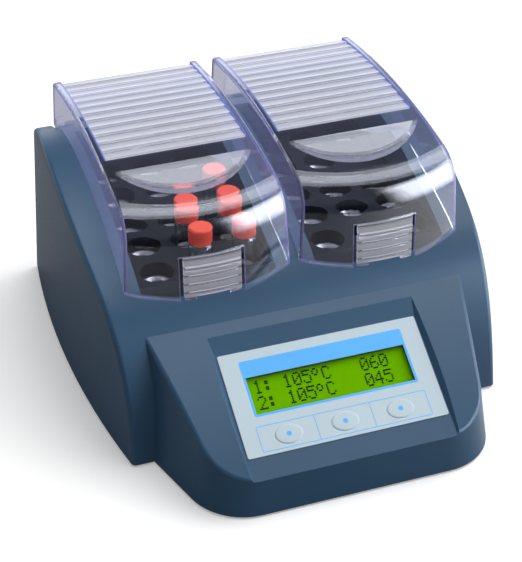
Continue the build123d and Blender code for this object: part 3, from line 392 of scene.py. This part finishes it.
# painted light: a violet glow at the rims, pale painted reflection and highlight at the places
CLEAR = clear("clear_lid", rough=0.01, rim=(0.52, 0.53, 0.98), rim_share=0.50,
              painted_light=(0.87, 0.90, 1.0), **VIOLET_PLASTIC)
TAB = clear("clear_tab", rough=0.02, rim=(0.66, 0.66, 1.0), rim_share=0.40, haze_share=0.03,
            painted_light=(0.93, 0.94, 1.0), painted_light_share=0.40, places=tab_places, **VIOLET_PLASTIC)
VIAL = clear("vial_glass", (0.97, 0.985, 0.99), 1.47, 0.0)
PANE = clear("window_pane", (0.99, 0.995, 0.99), 1.04, 0.0)

# looks by the first words of the nodes' names
LOOKS = {
    HOUSING: ["upper_housing"],
    TRAY: ["base_tray"],
    RUBBER: ["rubber_feet"],
    STEEL: ["case_screws", "hinge_pin", "temperature_sensor"],
    COVER: ["block_cover"],
    BLOCK: ["heating_b", "heatsink", "block_standoffs"],
    FIBRE: ["insulation_jacket"],
    MAT: ["heater_mat"],
    CLEAR: ["lid"],
    TAB: ["latch_tab"],
    VIAL: ["sample_vials"],
    SAMPLE: ["vial_samples"],
    CAP: ["vial_caps"],
    FILM: ["keypad_overlay", "key_left", "key_middle", "key_right"],
    PANE: ["display_window"],
    LIQUID: ["display_glass"],
    BOARD: ["control_board", "keypad_board", "power_board", "display_module"],
    DARK_PARTS: ["key_switches", "beeper", "power_parts", "thermal_cutout"],
    INLET: ["power_inlet", "fuse_drawer", "switch_frame", "power_rocker"],
    BRASS: ["inlet_pins", "board_standoffs", "fuses"],
}
for look, starts in LOOKS.items():
    for name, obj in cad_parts.items():
        if name.startswith(tuple(starts)):
            obj.data.materials.clear()
            obj.data.materials.append(look)


# --- shapes ------------------------------------------------------------------------------------
def add(mesh, name, body, look, at):
    """Puts a mesh, in mm and in the frame that the matrix at gives, on a body."""
    mesh.transform(Matrix.Scale(MM, 4))
    mesh.transform(at)
    obj = bpy.data.objects.new(name, mesh)
    bpy.context.scene.collection.objects.link(obj)
    mesh.materials.clear()
    mesh.materials.append(look)
    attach(obj, body)
    return obj


def to_mesh(bm, name, smooth=False):
    bmesh.ops.recalc_face_normals(bm, faces=bm.faces)
    mesh = bpy.data.meshes.new(name)
    bm.to_mesh(mesh)
    bm.free()
    for face in mesh.polygons:
        face.use_smooth = smooth
    return mesh


def rectangle(w, h):
    """Outline of a rectangle about the origin, anticlockwise, as all outlines here."""
    return [(-w / 2, -h / 2), (w / 2, -h / 2), (w / 2, h / 2), (-w / 2, h / 2)]


def round_corners(w, h, radius, steps=6):
    """Outline of a rounded rectangle."""
    points = []
    for cx, cy, start in ((1, 1, 0), (-1, 1, 90), (-1, -1, 180), (1, -1, 270)):
        for i in range(steps + 1):
            a = math.radians(start + 90 * i / steps)
            points.append((cx * (w / 2 - radius) + radius * math.cos(a),
                           cy * (h / 2 - radius) + radius * math.sin(a)))
    return points


def ellipse(w, h, steps):
    return [(w / 2 * math.cos(2 * math.pi * i / steps), h / 2 * math.sin(2 * math.pi * i / steps))
            for i in range(steps)]


def loop(bm, outline, z, centre=(0, 0)):
    """The points of an outline at a height."""
    return [bm.verts.new((x + centre[0], y + centre[1], z)) for x, y in outline]


def skin(bm, loops):
    """Faces from each loop of points to the next."""
    for a, b in zip(loops, loops[1:]):
        for i in range(len(a)):
            j = (i + 1) % len(a)
            bm.faces.new((a[i], a[j], b[j], b[i]))


def ring(bm, outer, inner, low, high, centre=(0, 0), inner_centre=None):
    """A flat ring between two outlines with the same number of points."""
    inner_centre = inner_centre or centre
    loops = [loop(bm, outer, low, centre), loop(bm, outer, high, centre),
             loop(bm, inner, high, inner_centre), loop(bm, inner, low, inner_centre)]
    skin(bm, loops + loops[:1])


def slab(bm, outline, low, high, centre=(0, 0)):
    """A flat plate with this outline."""
    bottom, top = loop(bm, outline, low, centre), loop(bm, outline, high, centre)
    bm.faces.new(top)
    bm.faces.new(bottom[::-1])
    skin(bm, [bottom, top])


def dome(bm, outline, levels):
    """A closed body through the outline at each level's share of its size and height."""
    loops = [loop(bm, [(x * share, y * share) for x, y in outline], z) for share, z in levels]
    skin(bm, loops)
    bm.faces.new(loops[-1])
    bm.faces.new(loops[0][::-1])


# --- keypad, in mm in the panel's frame: its face at height 0, the middle of it at the origin ----
TILT = math.radians(28.8)
PANEL_Y, PANEL_Z = -100, 45.5                          # of its middle, in the design's mm
PANEL_W, PANEL_H, PANEL_R, FILM_T = 124.0, 65.0, 1.2, 0.6
WINDOW_W, WINDOW_H, WINDOW_V, WINDOW_R = 98.8, 23.4, 4.3, 0.4
PRINT_T, PRINT_OVER = 0.03, 0.004                      # a print, and more where two prints cross
PRINT_R = 1.4
BORDER, BORDER_GAP = 3.0, 0.1                          # the printed frame over the window's size
BAND_GAP, BAND_TOP = 0.6, 26.4                         # from the window's edge; from the middle
CELLS_W, CELLS_H, CELLS_V, CELLS_R, CELLS_INNER_R = 105.0, 16.0, -22.6, 1.2, 0.9
LINE_W = 0.4                                           # of the lines around and between cells
KEY_PITCH, KEY_V, KEY_W, KEY_H, KEY_STEPS = 34.5, -22.7, 17.0, 12.0, 48
KEY_LEVELS = [(1.0, -0.02), (0.985, 0.14), (0.955, 0.32), (0.915, 0.46), (0.87, 0.55),
              (0.80, 0.59), (0.4, 0.62)]
STEM_W, STEM_LOW, STEM_HIGH = 5, -4.0, -0.03
SPOT_W, SPOT_LOW, SPOT_HIGH, ROUND_STEPS = 3.0, 0.60, 0.645, 24

panel_spot = Vector((0, PANEL_Y - FORWARD, PANEL_Z + LIFT)) * MM
PANEL = Matrix.Translation(panel_spot) @ Matrix.Rotation(TILT, 4, "X")

# film with its window, in place of the CAD sheet
bm = bmesh.new()
ring(bm, round_corners(PANEL_W, PANEL_H, PANEL_R), round_corners(WINDOW_W, WINDOW_H, WINDOW_R),
     -FILM_T, 0.0, inner_centre=(0, WINDOW_V))
film = add(to_mesh(bm, "film"), "keypad_film", "reactor", FILM, PANEL)
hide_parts("keypad_overlay")

# printed frame, header band and key cells with their dividing lines
bm = bmesh.new()
border_w, border_h = WINDOW_W + BORDER, WINDOW_H + BORDER
ring(bm, round_corners(border_w, border_h, PRINT_R),
     round_corners(WINDOW_W + BORDER_GAP, WINDOW_H + BORDER_GAP, WINDOW_R),
     0.0, PRINT_T, centre=(0, WINDOW_V))
band_low = WINDOW_V + WINDOW_H / 2 + BAND_GAP
slab(bm, round_corners(border_w, BAND_TOP - band_low, PRINT_R), 0.0, PRINT_T + PRINT_OVER,
     centre=(0, (band_low + BAND_TOP) / 2))
ring(bm, round_corners(CELLS_W, CELLS_H, CELLS_R),
     round_corners(CELLS_W - 2 * LINE_W, CELLS_H - 2 * LINE_W, CELLS_INNER_R),
     0.0, PRINT_T, centre=(0, CELLS_V))
for side in (-1, 1):
    slab(bm, rectangle(LINE_W, CELLS_H), 0.0, PRINT_T + PRINT_OVER,
         centre=(side * KEY_PITCH / 2, CELLS_V))
add(to_mesh(bm, "prints"), "keypad_prints", "reactor", PRINT, PANEL)

# domed keys, each with its stem and a printed spot
for index, place_name in ((-1, "left"), (0, "middle"), (1, "right")):
    spot = PANEL @ Matrix.Translation(Vector((index * KEY_PITCH, KEY_V, 0)) * MM)
    bm = bmesh.new()
    dome(bm, ellipse(KEY_W, KEY_H, KEY_STEPS), KEY_LEVELS)
    slab(bm, ellipse(STEM_W, STEM_W, ROUND_STEPS), STEM_LOW, STEM_HIGH)
    key = add(to_mesh(bm, "key_dome", True), f"key_dome_{place_name}", f"key_{place_name}",
              FILM, spot)
    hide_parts(f"key_{place_name}")
    bm = bmesh.new()
    slab(bm, ellipse(SPOT_W, SPOT_W, ROUND_STEPS), SPOT_LOW, SPOT_HIGH)
    add(to_mesh(bm, "key_dot"), f"key_dot_{place_name}", f"key_{place_name}",
        PRINT, spot)


# --- display, in the panel's frame too -----------------------------------------------------------
GLYPHS = {
    "0": "01110 10001 10011 10101 11001 10001 01110",
    "1": "00100 01100 00100 00100 00100 00100 01110",
    "2": "01110 10001 00001 00010 00100 01000 11111",
    "4": "00010 00110 01010 10010 11111 00010 00010",
    "5": "11111 10000 11110 00001 00001 10001 01110",
    "6": "00110 01000 10000 11110 10001 10001 01110",
    ":": "00000 01100 01100 00000 01100 01100 00000",
    "C": "01110 10001 10000 10000 10000 10001 01110",
    "o": "01100 10010 10010 01100 00000 00000 00000",
}
ROWS = ["1: 105oC   060", "2: 105oC   045"]
DOT, DOT_GAP, DOT_STRETCH = 1.0, 0.05, 0.18            # the rows lie further apart by the last
DOT_ACROSS, DOT_DOWN = DOT + DOT_GAP, DOT + DOT_STRETCH + DOT_GAP
DOT_LOW, DOT_HIGH = -3.28, -3.2                        # they stand on the display's glass
LETTER_W, LETTER_H = 6.05, 10.2                        # from one letter or row to the next
MIDDLE_COLUMN, FIRST_DOT, FIRST_ROW = 7.1, 2.2, 9.6    # where the text starts, from the middle

bm = bmesh.new()
for row, text in enumerate(ROWS):
    for column, letter in enumerate(text):
        if letter == " ":
            continue
        for j, line in enumerate(GLYPHS[letter].split()):
            for i, bit in enumerate(line):
                if bit == "0":
                    continue
                u = (column - MIDDLE_COLUMN) * LETTER_W + i * DOT_ACROSS - FIRST_DOT
                v = WINDOW_V + FIRST_ROW - row * LETTER_H - j * DOT_DOWN
                slab(bm, rectangle(DOT, DOT), DOT_LOW, DOT_HIGH, centre=(u, v))
add(to_mesh(bm, "dots"), "display_characters", "reactor", PIXEL, PANEL)


# --- light -------------------------------------------------------------------------------------
world = bpy.data.worlds.new("studio")
bpy.context.scene.world = world
world.use_nodes = True
sky = world.node_tree
sky.nodes.clear()

LEAST_HEIGHT = 0.02                    # keeps the division below from running off
dx, dy, dz = coordinates(sky, "Generated")
height = maths(sky, "MAXIMUM", dz, LEAST_HEIGHT)
across = maths(sky, "DIVIDE", dx, height)      # where a ray meets a ceiling 1 above, to the right
along = maths(sky, "DIVIDE", dy, height)       # and to the back
turn = maths(sky, "ARCTAN2", dx, maths(sky, "MULTIPLY", dy, -1.0))     # from the front, rightward


def patch(strength, *limits):
    """A soft patch of light. Each limit is a measure, where it is dark and where it is full."""
    shares = []
    for value, dark, full in limits:
        if dark < full:
            shares.append(step(sky, value, dark, full))
        else:
            shares.append(fall(sky, value, full, dark))
    return maths(sky, "MULTIPLY", *shares, strength)


# glossy surfaces see an edged soft box overhead, a tall one to the right and the sweep behind
above_box = patch(3.4, (along, -0.20, -0.08), (along, 0.80, 0.68), (across, -0.35, -0.05),
                  (across, 1.15, 0.85), (dz, 0.1, 0.2))
side_box = patch(10.0, (turn, 0.35, 0.66), (turn, 1.75, 1.40), (dz, -0.46, 0.20),
                 (dz, 0.75, 0.66))
sweep = patch(1.5, (dy, 0.05, 0.5), (dz, 0.42, 0.20), (dz, -0.30, -0.15))
shining = maths(sky, "ADD", above_box, side_box, sweep)

# the rest gets a plain level from above, from the right, from behind and a little from the front
top_light = patch(3.10, (along, -0.45, -0.05), (along, 1.00, 0.70), (across, -0.20, 0.20),
                  (across, 1.30, 0.90), (dz, 0.1, 0.2))
side_light = patch(1.6, (turn, 0.55, 1.20), (turn, 2.30, 1.90), (dz, 0.0, 0.3), (dz, 0.85, 0.66))
rear_light = patch(1.0, (dy, 0.05, 0.5), (dz, 0.42, 0.20), (dz, -0.30, -0.15))
front_light = patch(0.32, (dz, -0.2, 0.1), (dy, 0.2, -0.3))
lighting = maths(sky, "ADD", top_light, side_light, rear_light, front_light)

# both get a little from the whole room
room = patch(0.14, (dz, -0.1, 0.3))

# reflections are a little blue, and as bright as without that tint
GLOSSY_TINT, GLOSSY_GAIN = (0.86, 0.91, 1.0), 1.08
rays = node(sky, "ShaderNodeLightPath").outputs
glossy = rays["Is Glossy Ray"]
level = maths(sky, "ADD", maths(sky, "MULTIPLY", shining, glossy, GLOSSY_GAIN),
              maths(sky, "MULTIPLY", lighting, maths(sky, "SUBTRACT", 1.0, glossy)), room)
tint = node(sky, "ShaderNodeValToRGB")
tint.color_ramp.elements[0].color = (1, 1, 1, 1)
tint.color_ramp.elements[1].color = (*GLOSSY_TINT, 1)
sky.links.new(glossy, tint.inputs["Fac"])
around = node(sky, "ShaderNodeBackground")
sky.links.new(tint.outputs["Color"], around.inputs["Color"])
sky.links.new(level, around.inputs["Strength"])

# the camera sees white, also straight through clear pieces
white = node(sky, "ShaderNodeBackground", Color=(1, 1, 1, 1), Strength=1.0)
bounced = maths(sky, "MINIMUM", maths(sky, "ADD", rays["Diffuse Depth"], rays["Glossy Depth"]), 1.0)
straight = maths(sky, "MULTIPLY", rays["Is Transmission Ray"],
                 maths(sky, "SUBTRACT", 1.0, bounced))
studio = blend(sky, maths(sky, "MAXIMUM", rays["Is Camera Ray"], straight),
               around.outputs[0], white.outputs[0])
sky.links.new(studio, node(sky, "ShaderNodeOutputWorld").inputs["Surface"])


# --- floor -------------------------------------------------------------------------------------
FLOOR_FRONT, FLOOR_SIZE = -0.32, 6                     # in metres
FLOOR_DARK, FLOOR_PALE = (0.90, 0.90, 0.905), (0.915, 0.915, 0.92)
FLOOR_GLOW = 0.25                                      # lifts it to the white around it
# what diffuse and glossy rays get from it: a grey, darker in front for glossy rays, so that the
# lids' front walls stay clear, and for these a pale zone to the right
MUTED, FRONT_DIMMING = 0.34, -0.28
DIM_FAR, DIM_NEAR, DIM_SOFT = -1.0, -0.15, 0.08
ZONE_LEFT, ZONE_SOFT, ZONE_LIGHT = 0.30, 0.32, 2.0


def pale_floor():
    """A pale floor that glows for the camera and gives the object's reflections less."""
    mat, tree = new_material("pale_floor")
    rays = node(tree, "ShaderNodeLightPath").outputs
    x, y = coordinates(tree)[:2]
    diffuse = node(tree, "ShaderNodeBsdfDiffuse")
    tree.links.new(tones(tree, noise(tree, scale=3, detail=2), FLOOR_DARK, FLOOR_PALE),
                   diffuse.inputs["Color"])
    muted = node(tree, "ShaderNodeBsdfDiffuse")
    dimming = maths(tree, "MULTIPLY", rays["Is Glossy Ray"],
                    between(tree, y, DIM_FAR, DIM_NEAR, DIM_SOFT), FRONT_DIMMING)
    tree.links.new(maths(tree, "ADD", dimming, MUTED), muted.inputs["Color"])
    surface = blend(tree, maths(tree, "MAXIMUM", rays["Is Diffuse Ray"], rays["Is Glossy Ray"]),
                    diffuse.outputs[0], muted.outputs[0])

    zone = node(tree, "ShaderNodeEmission", Color=(1, 1, 1, 1))
    beside = between(tree, x, ZONE_LEFT, FLOOR_SIZE, ZONE_SOFT)
    tree.links.new(maths(tree, "MULTIPLY", beside, rays["Is Glossy Ray"], ZONE_LIGHT),
                   zone.inputs["Strength"])
    glow = node(tree, "ShaderNodeEmission", Color=(1, 1, 1, 1), Strength=FLOOR_GLOW)
    seen = maths(tree, "MAXIMUM", rays["Is Camera Ray"], rays["Is Transmission Ray"])
    shine = blend(tree, seen, zone.outputs[0], glow.outputs[0])

    both = node(tree, "ShaderNodeAddShader")
    tree.links.new(surface, both.inputs[0])
    tree.links.new(shine, both.inputs[1])
    finished(tree, both.outputs[0])
    return mat


corners = [(-FLOOR_SIZE, FLOOR_FRONT, 0), (FLOOR_SIZE, FLOOR_FRONT, 0),
           (FLOOR_SIZE, FLOOR_SIZE, 0), (-FLOOR_SIZE, FLOOR_SIZE, 0)]
floor_mesh = bpy.data.meshes.new("floor")
floor_mesh.from_pydata(corners, [], [(0, 1, 2, 3)])
floor_mesh.materials.append(pale_floor())
floor = bpy.data.objects.new("floor", floor_mesh)
bpy.context.scene.collection.objects.link(floor)
